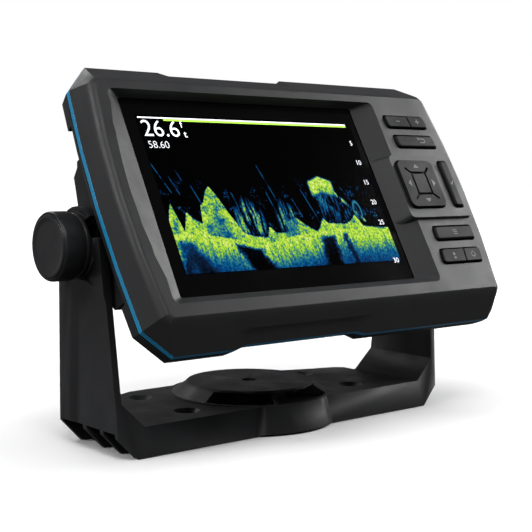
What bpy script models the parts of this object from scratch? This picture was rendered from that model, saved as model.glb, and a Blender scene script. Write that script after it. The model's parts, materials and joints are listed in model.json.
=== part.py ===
"""Chartplotter display on a bail bracket.

World frame: +X right, +Y away from the user, +Z up.  The origin is on the floor, midway between
the bracket's four screw holes.  Sizes below are in millimetres and are scaled to metres by MM.

The display unit is modelled in its own seam frame: x to the right, y up the face and z out of the
face, with z = 0 where the bezel meets the rear case.  That frame hangs on the tilt axis.
"""

import math

import bmesh
import bpy
from mathutils import Matrix, Vector

MM = 0.001
GAP = 0.3

# Bracket
BASE_HALF = 83.7
BASE_TOP = 11.3
BASE_FRONT = -30.0
BASE_REAR = 29.0
ARM_SPLAY = 0.046
ARM_TAPER = 0.085
ARM_REAR = 11.0
ARM_THICK = 3.3
FOOT_CHAMFER = (8.3, 8.9)
INNER_CHAMFER = (8.3, 9.1)
HEAD_RADIUS = 14.2
BULGE_RADIUS = 36.0
HUB_TOP = 16.0
HUB_RADIUS = 26.0
HUB_WINDOWS = ((-136, 50), (-79, 57), (-12, 30), (44, 50), (101, 57))
HUB_CORE = (20.0, 15.4)
MOUNT_HOLES = (43.8, 16.0)
HOLE_RADIUS = 2.5
SINK_RADIUS = 5.2
FOOT_POCKETS = ((-27.0, -19.2), (-17.0, -7.4), (-5.2, 8.0))
POCKET_TOP = 9.6
PANEL_DEPTH = 0.7
PANEL_SLOPE = 3.0
SLOT_RADIUS = 3.4
SLOT_MOUTH = (3.3, 9.4, 27.0)

# Tilt axis and display unit
PIVOT_Y = -8.5
PIVOT_Z = 76.0
TILT = 29.5
SEAM_AHEAD = 21.8
SEAM_RAISE = 3.5
SEAM = (86.9, 91.8, 57.8, 57.3)
SEAM_CORNERS = ((9.6, 10.4), (5.0, 3.6))
SEAM_BOW = 2.3
TRIM_SPAN = (-1.3, 0.7)
BEZEL_FOOT = 1.0
CREST_Z = 11.9
CREST = (83.9, 89.6, 46.0, 47.5)
CREST_CORNERS = ((1.5, 1.5), (1.5, 1.5))
CREST_BOW = 3.6
CREST_ROUND = 3.0
CREST_END_SHARE = 0.2
GRIP_DEPTH = 1.3
TOP_GRIP = (-45.0, 17.0)
BOTTOM_GRIP = (-51.0, 14.0)
WALL = 2.6
LIP_Z = 7.2
KEYPAD_WALL_Z = 9.4

# Window and display stack
WINDOW = (-72.0, 45.1, -38.6, 41.4)
WINDOW_CREST = (-78.7, 54.7, -42.4, 42.3)
WINDOW_BOW = 3.4
WINDOW_OVERRUN = 1.45
ACTIVE = (-66.5, 41.5, -30.1, 34.7)

# Platform under the direction pad
PLATFORM_Z = 13.4
PLATFORM_U = (50.4, 87.4)
PLATFORM_V = (-14.0, 15.4)
PLATFORM_FOOT_U = (45.3, 88.4)
PLATFORM_FOOT_GROW = 1.5
PLATFORM_ROUNDS = (2.2, 3.2, 0.8)

# Rear case
FLANGE_DEPTH = 7.0
REAR_LEVELS = ((-5.0, 80.0, 52.5), (-7.0, 79.6, 52.0), (-27.0, 70.5, 47.0), (-33.0, 66.0, 42.5))
REAR_CORNER = (14.0, 14.0)
REAR_DEPTH = 33.0
REAR_WALL = 2.3
CHEEK_OUT = 81.8
CHEEK = ((-31, -11.5), (-31, -18.4), (-27, -21), (-14, -31.5), (2, -31.5), (9.5, -27), (13, -22),
         (23, -19.4), (25, -15.6), (27, -14.5), (27, -11.5))
CHEEK_INSIDE = ((-28, -14), (-28, -17.5), (-13, -29), (1, -29), (7, -25.5), (11, -20), (22, -17), (24, -14))
ARM_NOTCH = (-35.0, 35.2)
CASE_SCREWS = (76.5, 46.5)
BOARD_SCREWS = (50.0, 34.0)
POWER_SOCKET = (-17.0, -16.0, 0.0)
TRANSDUCER_SOCKET = (17.0, -16.0, 0.0)
VENT = (0.0, 20.0, 0.0)
INSERT_BOSS = 7.5
INSERT_BORE = 4.8
BOSS_START = 68.5

# Knobs
KNOB_RADIUS = 12.5
KNOB_FACE = 99.3
STUD_RADIUS = 2.5

KEY_GAP = 0.8
KEY_FOOT_Z = 8.1
KEY_TOP_Z = 12.9
PAD_TOP_Z = 14.6

RUBBER = (0.012, 0.012, 0.013)
BLACK = (0.022, 0.023, 0.025)
GRAPHITE = (0.045, 0.046, 0.050)
KEY_GREY = (0.060, 0.061, 0.066)
BLUE = (0.010, 0.215, 0.420)
STEEL = (0.55, 0.56, 0.58)
BRASS = (0.72, 0.52, 0.22)
BOARD_GREEN = (0.010, 0.120, 0.060)


for old in list(bpy.data.objects):
    bpy.data.objects.remove(old, do_unlink=True)

parts = bpy.data.collections.new("chartplotter_display")
tools = bpy.data.collections.new("cutters")
bpy.context.scene.collection.children.link(parts)
bpy.context.scene.collection.children.link(tools)


def material(name, color, roughness, metallic=0.0):
    made = bpy.data.materials.new(name)
    made.use_nodes = True
    shader = made.node_tree.nodes["Principled BSDF"]
    shader.inputs["Base Color"].default_value = (*color, 1.0)
    shader.inputs["Roughness"].default_value = roughness
    shader.inputs["Metallic"].default_value = metallic
    return made


def empty(name, parent=None, location=(0, 0, 0), rotation=(0, 0, 0)):
    made = bpy.data.objects.new(name, None)
    parts.objects.link(made)
    made.parent = parent
    made.location = Vector(location) * MM
    made.rotation_euler = rotation
    return made


def add(name, shape, look, parent=None, location=(0, 0, 0), rotation=(0, 0, 0)):
    """Makes a mesh object from a bmesh in millimetres; with no look it is a cutter."""
    bmesh.ops.scale(shape, vec=(MM, MM, MM), verts=shape.verts)
    bmesh.ops.recalc_face_normals(shape, faces=shape.faces)
    mesh = bpy.data.meshes.new(name)
    shape.to_mesh(mesh)
    shape.free()
    made = bpy.data.objects.new(name, mesh)
    made.parent = parent
    made.location = Vector(location) * MM
    made.rotation_euler = rotation
    if look is None:
        tools.objects.link(made)
        made.hide_render = True
        made.display_type = "WIRE"
        return made
    parts.objects.link(made)
    mesh.materials.append(look)
    mesh.shade_smooth()
    mesh.set_sharp_from_angle(angle=math.radians(30))
    return made


def combine(target, other, operation):
    step = target.modifiers.new(other.name, "BOOLEAN")
    step.operation = operation
    step.object = other
    step.solver = "EXACT"


def cut(target, *cutters):
    for cutter in cutters:
        combine(target, cutter, "DIFFERENCE")


def join(target, *others):
    for other in others:
        combine(target, other, "UNION")


def box(low, high):
    shape = bmesh.new()
    bmesh.ops.create_cube(shape, size=1.0)
    size = Vector(high) - Vector(low)
    centre = (Vector(high) + Vector(low)) / 2
    bmesh.ops.scale(shape, vec=size, verts=shape.verts)
    bmesh.ops.translate(shape, vec=centre, verts=shape.verts)
    return shape


def slab(outline, low, high, holes=()):
    """A flat outline in x and y, filled and extruded from z = low to z = high."""
    flat = bpy.data.curves.new("outline", "CURVE")
    flat.dimensions = "2D"
    flat.fill_mode = "BOTH"
    flat.extrude = (high - low) / 2
    for ring in (outline, *holes):
        spline = flat.splines.new("POLY")
        spline.points.add(len(ring) - 1)
        for point, (x, y) in zip(spline.points, ring):
            point.co = (x, y, 0, 1)
        spline.use_cyclic_u = True
    holder = bpy.data.objects.new("outline", flat)
    tools.objects.link(holder)
    mesh = bpy.data.meshes.new_from_object(holder.evaluated_get(bpy.context.evaluated_depsgraph_get()))
    shape = bmesh.new()
    shape.from_mesh(mesh)
    bpy.data.objects.remove(holder, do_unlink=True)
    bmesh.ops.remove_doubles(shape, verts=shape.verts, dist=0.0001)
    bmesh.ops.dissolve_limit(shape, angle_limit=0.001, verts=shape.verts, edges=shape.edges)
    bmesh.ops.translate(shape, vec=(0, 0, (high + low) / 2), verts=shape.verts)
    return shape


def loft(sections):
    """Skins a stack of equal-length rings of 3-D points and caps both ends."""
    shape = bmesh.new()
    rings = [[shape.verts.new(point) for point in ring] for ring in sections]
    for lower, upper in zip(rings, rings[1:]):
        for index in range(len(lower)):
            after = (index + 1) % len(lower)
            shape.faces.new((lower[index], lower[after], upper[after], upper[index]))
    shape.faces.new(rings[0])
    shape.faces.new(reversed(rings[-1]))
    return shape


def turned(profile, steps=24):
    """Turns (radius, z) points, given from the top down the outer side, about the z axis."""
    mesh = bpy.data.meshes.new("profile")
    closed = profile[0][0] > 0
    count = len(profile)
    edges = [(i, i + 1) for i in range(count - 1)]
    if closed:
        edges.append((count - 1, 0))
    mesh.from_pydata([(radius, 0, z) for radius, z in profile], edges, [])
    holder = bpy.data.objects.new("profile", mesh)
    tools.objects.link(holder)
    screw = holder.modifiers.new("turn", "SCREW")
    screw.axis = "Z"
    screw.steps = steps
    screw.render_steps = steps
    screw.use_merge_vertices = True
    screw.merge_threshold = 0.0001
    baked = bpy.data.meshes.new_from_object(holder.evaluated_get(bpy.context.evaluated_depsgraph_get()))
    shape = bmesh.new()
    shape.from_mesh(baked)
    bpy.data.objects.remove(holder, do_unlink=True)
    bmesh.ops.remove_doubles(shape, verts=shape.verts, dist=0.0001)
    return shape


def rod(radius, low, high, steps=24):
    shape = bmesh.new()
    bmesh.ops.create_cone(shape, cap_ends=True, segments=steps, radius1=radius, radius2=radius,
                          depth=high - low)
    bmesh.ops.translate(shape, vec=(0, 0, (low + high) / 2), verts=shape.verts)
    return shape


def rounded(corners, radii, steps=3):
    """Rounds each corner of a polygon with an arc-like fillet; radii is one number or one for each."""
    points = []
    count = len(corners)
    if isinstance(radii, float):
        radii = [radii] * count
    for index, radius in enumerate(radii):
        here = Vector(corners[index])
        back = (Vector(corners[index - 1]) - here).normalized()
        ahead = (Vector(corners[(index + 1) % count]) - here).normalized()
        half = back.angle(ahead) / 2
        reach = radius / math.tan(half)
        centre = here + (back + ahead).normalized() * (radius / math.sin(half))
        start = here + back * reach - centre
        end = here + ahead * reach - centre
        sweep = start.angle_signed(end)
        for step in range(steps + 1):
            turn = Matrix.Rotation(-sweep * step / steps, 2)
            points.append(tuple(centre + turn @ start))
    return points


def rectangle(left, right, bottom, top, radius=0.0, steps=3):
    corners = [(left, bottom), (right, bottom), (right, top), (left, top)]
    return rounded(corners, radius, steps) if radius else corners


def at(points, z):
    return [(x, y, z) for x, y in points]


# ---------------------------------------------------------------- bracket

def foot_profile():
    """Cross-section of the bracket in x and z: floor plate, foot chamfers and splayed arms."""
    top = PIVOT_Z + HEAD_RADIUS + 4
    inner = BASE_HALF - ARM_THICK
    chamfer_top = BASE_TOP + INNER_CHAMFER[1]
    right = [
        (BASE_HALF - FOOT_CHAMFER[0], 0),
        (BASE_HALF + ARM_SPLAY * FOOT_CHAMFER[1], FOOT_CHAMFER[1]),
        (BASE_HALF + ARM_SPLAY * top, top),
        (inner + ARM_SPLAY * top, top),
        (inner + ARM_SPLAY * chamfer_top, chamfer_top),
        (inner - INNER_CHAMFER[0], BASE_TOP),
    ]
    left = [(-x, z) for x, z in reversed(right)]
    return right + left


def along_y(shape):
    """Turns a slab drawn in x and z so that its thickness runs along y."""
    bmesh.ops.rotate(shape, matrix=Matrix.Rotation(math.radians(90), 3, "X"), verts=shape.verts)
    return shape


def along_x(shape):
    """Turns a slab drawn in y and z so that its thickness runs along x."""
    turn = Matrix(((0, 0, 1), (1, 0, 0), (0, 1, 0)))
    bmesh.ops.transform(shape, matrix=turn.to_4x4(), verts=shape.verts)
    return shape


def arc(centre, radius, start, end, steps):
    angles = [math.radians(start + (end - start) * step / steps) for step in range(steps + 1)]
    return [(centre[0] + radius * math.cos(a), centre[1] + radius * math.sin(a)) for a in angles]


def bracket_front_cutter():
    high = PIVOT_Z + HEAD_RADIUS + 10
    front = [(BASE_FRONT, -1), (BASE_FRONT + ARM_TAPER * high, high), (-60, high), (-60, -1)]
    return along_x(slab(front, -110, 110))


def bracket_rear_plan():
    """What is cut from one rear corner of the plate, seen from above, for the right side."""
    return [(40, BASE_REAR + 1), (40, BASE_REAR), (50, 25), (67, 19.4), (72.5, 15.0), (72.5, 60), (40, 60)]


def arm_side_cutter(side):
    """Everything behind the arm's sloping rear edge and outside its round head."""
    high = PIVOT_Z + HEAD_RADIUS + 12
    mid = (BASE_FRONT + ARM_REAR) / 2
    head = arc((mid, PIVOT_Z), HEAD_RADIUS, 0, 180, 14)
    outline = [(ARM_REAR, -1), *head, (-60, PIVOT_Z), (-60, high), (60, high), (60, -1)]
    span = (70.8, 110) if side > 0 else (-110, -70.8)
    return along_x(slab(outline, *span))


def slot_cutter(side):
    """Open slot from the tilt axis out through the front of the arm's head, with a flared mouth."""
    lower, upper, flare = SLOT_MOUTH
    run = 24
    rise = upper + run * math.tan(math.radians(flare))
    seat = arc((0, 0), SLOT_RADIUS, 60, -125, 10)
    outline = seat + [(-8, lower), (-6.5 - run, lower), (-6.5 - run, rise), (-6.5, upper)]
    span = (78, 94) if side > 0 else (-94, -78)
    return along_x(slab([(y + PIVOT_Y, z + PIVOT_Z) for y, z in outline], *span))


def foot_pockets():
    """Open pockets under each foot chamfer, with ribs between them."""
    for side in (-1, 1):
        near, far = sorted((side * 72.0, side * 90.0))
        for front, rear in FOOT_POCKETS:
            yield box((near, front, -1), (far, rear, POCKET_TOP))


def panel_recesses():
    """Shallow panel on the outer face of each arm; its rear and top edges slope in softly."""
    edge = [(-50.0, -2.0), (3.6, -2.0), (-3.6, 60.2), (-50.0, 58.0)]
    floor = [(y - PANEL_SLOPE * (y > -50), z - PANEL_SLOPE * (z > 0)) for y, z in edge]
    rim = [(y + PANEL_SLOPE * (y > -50), z + PANEL_SLOPE * (z > 0)) for y, z in edge]
    for side in (-1, 1):
        stack = [[(out + BASE_HALF + ARM_SPLAY * z, y, z) for y, z in ring]
                 for out, ring in ((-PANEL_DEPTH, floor), (0.0, edge), (PANEL_DEPTH, rim))]
        yield loft([[(side * x, y, z) for x, y, z in ring] for ring in stack])


def build_bracket(look):
    bracket = add("bail_bracket", along_y(slab(foot_profile(), -BASE_REAR, -BASE_FRONT + 1)), look)
    cut(bracket, add("front_slope", bracket_front_cutter(), None))
    for side in (-1, 1):
        plan = [(side * x, y) for x, y in bracket_rear_plan()]
        cut(bracket, add(f"rear_corner_{side}", slab(plan, -1, 70), None))
        cut(bracket, add(f"arm_side_{side}", arm_side_cutter(side), None))
    rim = BASE_TOP + 0.3
    hub = turned([(0, HUB_TOP), (HUB_RADIUS, HUB_TOP), (HUB_RADIUS + 1.2, HUB_TOP - 1.2),
                  (BULGE_RADIUS - 3.6, rim), (BULGE_RADIUS - 2.2, rim), (BULGE_RADIUS, 0.4), (0, 0.4)], 40)
    join(bracket, add("hub", hub, None))
    for number, (angle, width) in enumerate(HUB_WINDOWS):
        start = angle - width / 2
        outer = arc((0, 0), HUB_RADIUS + 6.2, start, start + width, 6)
        ring = outer + arc((0, 0), HUB_RADIUS - 9, start + width, start, 6)
        window = slab(ring, BASE_TOP - 0.8, HUB_TOP - 0.8)
        cut(bracket, add(f"hub_window_{number}", window, None))
    core = box((-HUB_CORE[0], -HUB_CORE[1], BASE_TOP - 2), (HUB_CORE[0], HUB_CORE[1], HUB_TOP - 0.4))
    join(bracket, add("hub_core", core, None))
    pads = []
    for side in (-1, 1):
        pads.append((rod(KNOB_RADIUS, 85.4, 87.9, 32), side))
        pads.append((rod(10.0, 83.4, 85.0, 24), side))
    for number, (pad, side) in enumerate(pads):
        spin = (0, side * math.radians(90), 0)
        join(bracket, add(f"head_pad_{number}", pad, None, None, (0, PIVOT_Y, PIVOT_Z), spin))
    for side in (-1, 1):
        cut(bracket, add(f"head_slot_{side}", slot_cutter(side), None))
    for number, pocket in enumerate([*foot_pockets(), *panel_recesses()]):
        cut(bracket, add(f"arm_recess_{number}", pocket, None))
    sink_depth = SINK_RADIUS - HOLE_RADIUS
    for number, (sx, sy) in enumerate(((-1, -1), (1, -1), (-1, 1), (1, 1))):
        profile = [(0, BASE_TOP + 1), (SINK_RADIUS + 1, BASE_TOP + 1),
                   (HOLE_RADIUS, BASE_TOP - sink_depth), (HOLE_RADIUS, -1), (0, -1)]
        place = (sx * MOUNT_HOLES[0], sy * MOUNT_HOLES[1], 0)
        cut(bracket, add(f"screw_hole_{number}", turned(profile, 20), None, None, place))
    cut(bracket, add("hub_dimple", rod(3.2, HUB_TOP - 3, HUB_TOP + 1, 20), None))
    return bracket


# ---------------------------------------------------------------- display outlines

def case_outline(reach, corners, bow, grip=0.0, inset=(0.0, 0.0), side_steps=4):
    """Outline of the unit: chamfered corners, sides that bow outward, grip recesses top and bottom.

    reach is (left, right, top, bottom); corners are the left and the right pair; inset is what
    comes off the sides and off the ends.
    """
    left, right = reach[0] - inset[0], reach[1] - inset[0]
    top, bottom = reach[2] - inset[1], reach[3] - inset[1]
    (left_u, left_v), (right_u, right_v) = corners
    slope = 5.0
    points = [(-left + left_u, -bottom)]
    points += [(BOTTOM_GRIP[0], -bottom), (BOTTOM_GRIP[0] + slope, -bottom + grip)]
    points += [(BOTTOM_GRIP[1] - slope, -bottom + grip), (BOTTOM_GRIP[1], -bottom)]
    points += [(right - right_u, -bottom)]
    points += bowed_side(right, -bottom + right_v, top - right_v, bow, side_steps)
    points += [(right - right_u, top)]
    points += [(TOP_GRIP[1], top), (TOP_GRIP[1] - 2, top - grip)]
    points += [(TOP_GRIP[0] + slope, top - grip), (TOP_GRIP[0], top)]
    points += [(-left + left_u, top)]
    left_side = bowed_side(left, -bottom + left_v, top - left_v, bow, side_steps)
    points += [(-u, v) for u, v in reversed(left_side)]
    return points


def bowed_side(reach, low, high, bow, steps):
    middle = (low + high) / 2
    half = (high - low) / 2
    heights = [low + (high - low) * step / steps for step in range(steps + 1)]
    return [(reach + bow * (1 - ((v - middle) / half) ** 2), v) for v in heights]


def body_outline(z, inset=(0.0, 0.0), grip=0.0):
    """The bezel's outline at height z between its foot and the crest."""
    share = max(0.0, (z - BEZEL_FOOT) / (CREST_Z - BEZEL_FOOT))

    def mix(foot, crest):
        return foot + (crest - foot) * share

    reach = [mix(foot, crest) for foot, crest in zip(SEAM, CREST)]
    corners = [(mix(foot[0], crest[0]), mix(foot[1], crest[1]))
               for foot, crest in zip(SEAM_CORNERS, CREST_CORNERS)]
    return case_outline(reach, corners, mix(SEAM_BOW, CREST_BOW), grip, inset)


def even(inset):
    return (inset, inset)


def chamfered(half_u, half_v, corner):
    cu, cv = corner
    right = [(half_u - cu, -half_v), (half_u, -half_v + cv), (half_u, half_v - cv), (half_u - cu, half_v)]
    return right + [(-u, -v) for u, v in right]


def ring_between(outer, inner, low, high):
    """A closed frame with matched outer and inner rings, made as a ring of quads."""
    shape = bmesh.new()
    loops = [[shape.verts.new(p) for p in at(ring, z)]
             for ring, z in ((outer, low), (outer, high), (inner, high), (inner, low))]
    for first, second in zip(loops, loops[1:] + loops[:1]):
        for index in range(len(first)):
            after = (index + 1) % len(first)
            shape.faces.new((first[index], first[after], second[after], second[index]))
    return shape


# ---------------------------------------------------------------- keypad layout

def row_centre(v):
    """The key rows follow the bow of the unit's right edge."""
    return 74.1 - 0.0022 * (v + 5) ** 2


def row_lean(v):
    return -0.0044 * (v + 5)


def key_outline(left, right, middle, height, inset, radii):
    """A key or a well in a row: its ends lean with the row's arc; radii are the left and right pairs."""
    lean = row_lean(middle)
    low = -height / 2 + inset
    high = height / 2 - inset
    corners = [(left + lean * low, low), (right + lean * low, low),
               (right + lean * high, high), (left + lean * high, high)]
    near, far = radii
    return rounded([(u, v + middle) for u, v in corners], (near, far, far, near), 2)


KEY_ROWS = {
    "zoom": (32.8, 6.9, 25.5),
    "back": (23.1, 7.0, 25.0),
    "menu": (-21.2, 7.4, 25.0),
    "mark": (-31.8, 7.5, 25.4),
}
DIVIDER = 1.6
DIVIDER_GAP = 0.5
KEY_CORNER = 1.5
DIVIDER_CORNER = 0.3
DPAD = (51.8, 74.5, -10.2, 13.0)
SELECT = (78.9, 85.4, -10.2, 13.0)


def row_span(name):
    middle, height, width = KEY_ROWS[name]
    centre = row_centre(middle)
    return centre - width / 2, centre + width / 2, middle, height


def key_list():
    """Name, left, right, middle height, height and corner radii of each key that sits in a row."""
    for row, names in (("zoom", ("zoom_out_key", "zoom_in_key")), ("back", ("back_key",)),
                       ("menu", ("menu_key",)), ("mark", ("mark_key", "power_key"))):
        left, right, middle, height = row_span(row)
        left, right = left + KEY_GAP, right - KEY_GAP
        round_end = KEY_CORNER - KEY_GAP / 2
        if len(names) == 1:
            yield names[0], left, right, middle, height, (round_end, round_end)
            continue
        split = (left + right) / 2 + DIVIDER
        yield names[0], left, split - DIVIDER_GAP / 2, middle, height, (round_end, DIVIDER_CORNER)
        yield names[1], split + DIVIDER_GAP / 2, right, middle, height, (DIVIDER_CORNER, round_end)


# ---------------------------------------------------------------- display unit shells

def window_outline(share):
    """The window's opening, from the glass (share 0) out to the crest (share 1) and beyond."""
    left, right, bottom, top = [low + (high - low) * share for low, high in zip(WINDOW, WINDOW_CREST)]
    ring = rectangle(left, right, bottom, top, 1.0 + 1.5 * share)
    side = bowed_side(-left, top - 6, bottom + 6, WINDOW_BOW * share, 6)
    return ring + [(-u, v) for u, v in side]


def build_bezel(look, frame):
    levels = [(BEZEL_FOOT, 0.0, GRIP_DEPTH), (6.0, 0.0, GRIP_DEPTH), (7.0, 0.0, 0.0)]
    steps = 6
    for step in range(steps + 1):
        angle = math.radians(90 * step / steps)
        levels.append((CREST_Z - CREST_ROUND * (1 - math.sin(angle)),
                       0.8 * CREST_ROUND * (1 - math.cos(angle)), 0.0))
    skin = loft([at(body_outline(z, (inset, inset * CREST_END_SHARE), grip), z) for z, inset, grip in levels])
    bezel = add("front_bezel", skin, look, frame)

    window = loft([at(window_outline(0.0), LIP_Z - 1.0), at(window_outline(0.0), LIP_Z),
                   at(window_outline(WINDOW_OVERRUN), LIP_Z + WINDOW_OVERRUN * (CREST_Z - LIP_Z))])
    cut(bezel, add("window_cutter", window, None, frame))

    low, high = PLATFORM_V
    top_round, foot_round, end_round = PLATFORM_ROUNDS
    foot = rounded(rectangle(*PLATFORM_FOOT_U, low - PLATFORM_FOOT_GROW, high + PLATFORM_FOOT_GROW),
                   [foot_round, end_round, end_round, foot_round])
    top = rounded(rectangle(*PLATFORM_U, low, high), [top_round, end_round, end_round, top_round])
    platform = loft([at(foot, LIP_Z + 0.05), at(top, PLATFORM_Z)])
    join(bezel, add("platform", platform, None, frame))

    inner = [at(body_outline(z, even(WALL + extra)), z)
             for z, extra in ((-1.0, 0.0), (BEZEL_FOOT, 0.0), (LIP_Z, 0.2))]
    cut(bezel, add("bezel_cavity", loft(inner), None, frame))
    keypad = [(53.2, -44.0), *[(u - 2.2, v) for u, v in bowed_side(CREST[1], -44.0, 43.0, CREST_BOW, 4)],
              (53.2, 43.0)]
    cut(bezel, add("keypad_cavity", slab(keypad, LIP_Z - 2, KEYPAD_WALL_Z), None, frame))

    for row in KEY_ROWS:
        well = slab(key_outline(*row_span(row), 0, (KEY_CORNER, KEY_CORNER)), 5, 15)
        cut(bezel, add(row + "_well", well, None, frame))
    cut(bezel, add("dpad_hole", slab(rectangle(*DPAD, 3.4), 5, 15), None, frame))
    cut(bezel, add("select_hole", slab(rectangle(*SELECT, 1.5), 5, 15), None, frame))

    for number, (su, sv) in enumerate(((-1, -1), (1, -1), (-1, 1), (1, 1))):
        place = (su * CASE_SCREWS[0], sv * CASE_SCREWS[1], 0)
        join(bezel, add(f"screw_boss_{number}", rod(3.4, BEZEL_FOOT, LIP_Z + 0.2, 16), None, frame, place))
        cut(bezel, add(f"screw_bore_{number}", rod(1.6, -1, 5.6, 12), None, frame, place))
    return bezel


def hollow_levels():
    """The levels of the rear case's inside: open at the front, one wall short of the back."""
    (_, front_u, front_v), *middle, (back, back_u, back_v) = REAR_LEVELS
    return [(-1.0, front_u, front_v), *middle, (back + REAR_WALL, back_u + 1.7, back_v + 1.7)]


def build_rear_case(look, frame):
    flange = [at(body_outline(0, even(0.0), GRIP_DEPTH), -1.6),
              at(body_outline(0, even(0.9), GRIP_DEPTH + 1.4), -FLANGE_DEPTH)]
    case = add("rear_case", loft(flange), look, frame)
    tub = [at(chamfered(u, v, REAR_CORNER), z) for z, u, v in REAR_LEVELS]
    join(case, add("rear_tub", loft(tub), None, frame))
    for side in (-1, 1):
        near, far = sorted((side * 79.8, side * 96))
        notch = box((near, ARM_NOTCH[0], -11), (far, ARM_NOTCH[1], -3.3))
        cut(case, add(f"arm_notch_{side}", notch, None, frame))
        cheek = along_x(slab(CHEEK, *sorted((side * 62, side * CHEEK_OUT))))
        join(case, add(f"cheek_{side}", cheek, None, frame))
        pocket = along_x(slab(CHEEK_INSIDE, *sorted((side * 50, side * (CHEEK_OUT - REAR_WALL)))))
        cut(case, add(f"cheek_pocket_{side}", pocket, None, frame))
    hollow = [at(chamfered(u - REAR_WALL, v - REAR_WALL, REAR_CORNER), z) for z, u, v in hollow_levels()]
    cut(case, add("tub_hollow", loft(hollow), None, frame))
    for side in (-1, 1):
        spin = (0, side * math.radians(90), 0)
        place = (0, -SEAM_RAISE, -SEAM_AHEAD)
        boss = rod(INSERT_BOSS, BOSS_START, CHEEK_OUT - 1)
        bore = rod(INSERT_BORE, BOSS_START + 1.5, CHEEK_OUT + 2)
        join(case, add(f"insert_boss_{side}", boss, None, frame, place, spin))
        cut(case, add(f"insert_bore_{side}", bore, None, frame, place, spin))
    for number, (su, sv) in enumerate(((-1, -1), (1, -1), (-1, 1), (1, 1))):
        place = (su * CASE_SCREWS[0], sv * CASE_SCREWS[1], 0)
        cut(case, add(f"flange_bore_{number}", rod(1.9, -12, 0, 12), None, frame, place))
        place = (su * BOARD_SCREWS[0], sv * BOARD_SCREWS[1], 0)
        join(case, add(f"standoff_{number}", rod(3.4, -REAR_DEPTH + 1.2, -9.9, 12), None, frame, place))
        cut(case, add(f"standoff_bore_{number}", rod(1.5, -20, -9, 10), None, frame, place))
    for place in (POWER_SOCKET, TRANSDUCER_SOCKET):
        cut(case, add("socket_hole", rod(9.4, -40, -25), None, frame, place))
    cut(case, add("vent_hole", rod(3.4, -40, -25, 16), None, frame, VENT))
    return case


def build_stack(looks, frame):
    """Trim, seal, window, display module and boards."""
    for name, look, near, far in (("accent_trim", "blue", 0.0, 1.2), ("case_seal", "rubber", 1.5, 2.8)):
        outer = body_outline(0, even(near), GRIP_DEPTH)
        inner = body_outline(0, even(far), GRIP_DEPTH)
        add(name, ring_between(outer, inner, *TRIM_SPAN), looks[look], frame)

    left, right, bottom, top = WINDOW
    pane = (left - 1.5, right + 1.5, bottom - 1.5, top + 1.5)
    add("window_glass", slab(rectangle(*pane, 3.0), 5.1, 6.9), looks["glass"], frame)
    screen = (ACTIVE[0] - 2.5, ACTIVE[1] + 2.5, ACTIVE[2] - 2.5, ACTIVE[3] + 2.5)
    bond = ring_between(rectangle(*pane, 3.0), rectangle(*screen, 1.0), 4.0, 4.8)
    add("window_gasket", bond, looks["rubber"], frame)
    module = (-71.0, 48.0, -36.0, 40.0)
    add("lcd_panel", slab(rectangle(*module), 0.9, 3.7), looks["screen"], frame)
    tray = add("lcd_tray", box((-73.0, -38.0, -0.5), (50.0, 42.0, 2.9)), looks["steel"], frame)
    cut(tray, add("tray_pocket", box((-71.4, -36.4, 0.5), (48.4, 40.4, 4.0)), None, frame))
    cut(tray, add("flex_notch", box((-22.0, -40.0, 0.5), (12.0, -30.0, 4.0)), None, frame))

    path = [(-36.5, 0.2), (-39.6, 0.2), (-41.2, -2.0), (-41.2, -5.0), (-39.6, -7.4), (-34.0, -7.4)]
    flex = along_x(slab(ribbon(path, 0.35), -20.0, 10.0))
    cut_clear = [vert for vert in flex.verts if vert.co.z > -0.2]
    bmesh.ops.translate(flex, vec=(0, -2.0, 0), verts=cut_clear)
    add("lcd_flex", flex, looks["flex"], frame)

    keypad = [(53.8, -42.0), (82.0, -42.0), (84.6, -20.0), (85.2, 0.0), (84.6, 20.0), (82.0, 41.0),
              (53.8, 41.0)]
    add("keypad_mat", slab(keypad, 5.7, 7.0), looks["rubber"], frame)
    add("keypad_board", slab([(u - (0.6 if u > 80 else -0.4), v * 0.97) for u, v in keypad], 3.8, 5.4),
        looks["board"], frame)
    board = slab(rectangle(-64, 64, -45, 44), -9.6, -8.0)
    board = add("main_board", board, looks["board"], frame)
    for number, (su, sv) in enumerate(((-1, -1), (1, -1), (-1, 1), (1, 1))):
        place = (su * BOARD_SCREWS[0], sv * BOARD_SCREWS[1], 0)
        cut(board, add(f"board_hole_{number}", rod(1.6, -11, -7, 12), None, frame, place))
        screw = turned([(0, -6.1), (2.3, -6.5), (2.5, -7.7), (1.1, -7.7), (1.1, -16), (0, -16)], 12)
        add(f"board_screw_{number + 1}", screw, looks["steel"], frame, place)
        place = (su * CASE_SCREWS[0], sv * CASE_SCREWS[1], 0)
        screw = turned([(0, 4.4), (1.2, 4.4), (1.2, -7.3), (2.4, -7.3), (2.2, -8.9), (0, -9.3)], 14)
        add(f"case_screw_{number + 1}", screw, looks["steel"], frame, place)
    shield = add("shield_can", box((-30, -12, -13.4), (16, 24, -9.9)), looks["steel"], frame)
    cut(shield, add("shield_pocket", box((-29.3, -11.3, -12.8), (15.3, 23.3, -9)), None, frame))
    add("gps_antenna", box((20, 6, -14.4), (44, 30, -9.9)), looks["ceramic"], frame)
    add("buzzer", rod(6.0, -15.0, -9.9, 20), looks["black"], frame, (-48, -20, 0))
    add("board_link", box((56.0, -8.0, -7.7), (61.0, 10.0, 3.5)), looks["black"], frame)


def ribbon(path, thickness):
    """Outline of a strip that follows a path in the plane."""
    sides = ([], [])
    for index, point in enumerate(path):
        here = Vector(point)
        before = Vector(path[max(index - 1, 0)])
        after = Vector(path[min(index + 1, len(path) - 1)])
        along = (after - before).normalized()
        across = Vector((-along.y, along.x)) * thickness / 2
        sides[0].append(tuple(here + across))
        sides[1].append(tuple(here - across))
    return sides[0] + sides[1][::-1]


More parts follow.
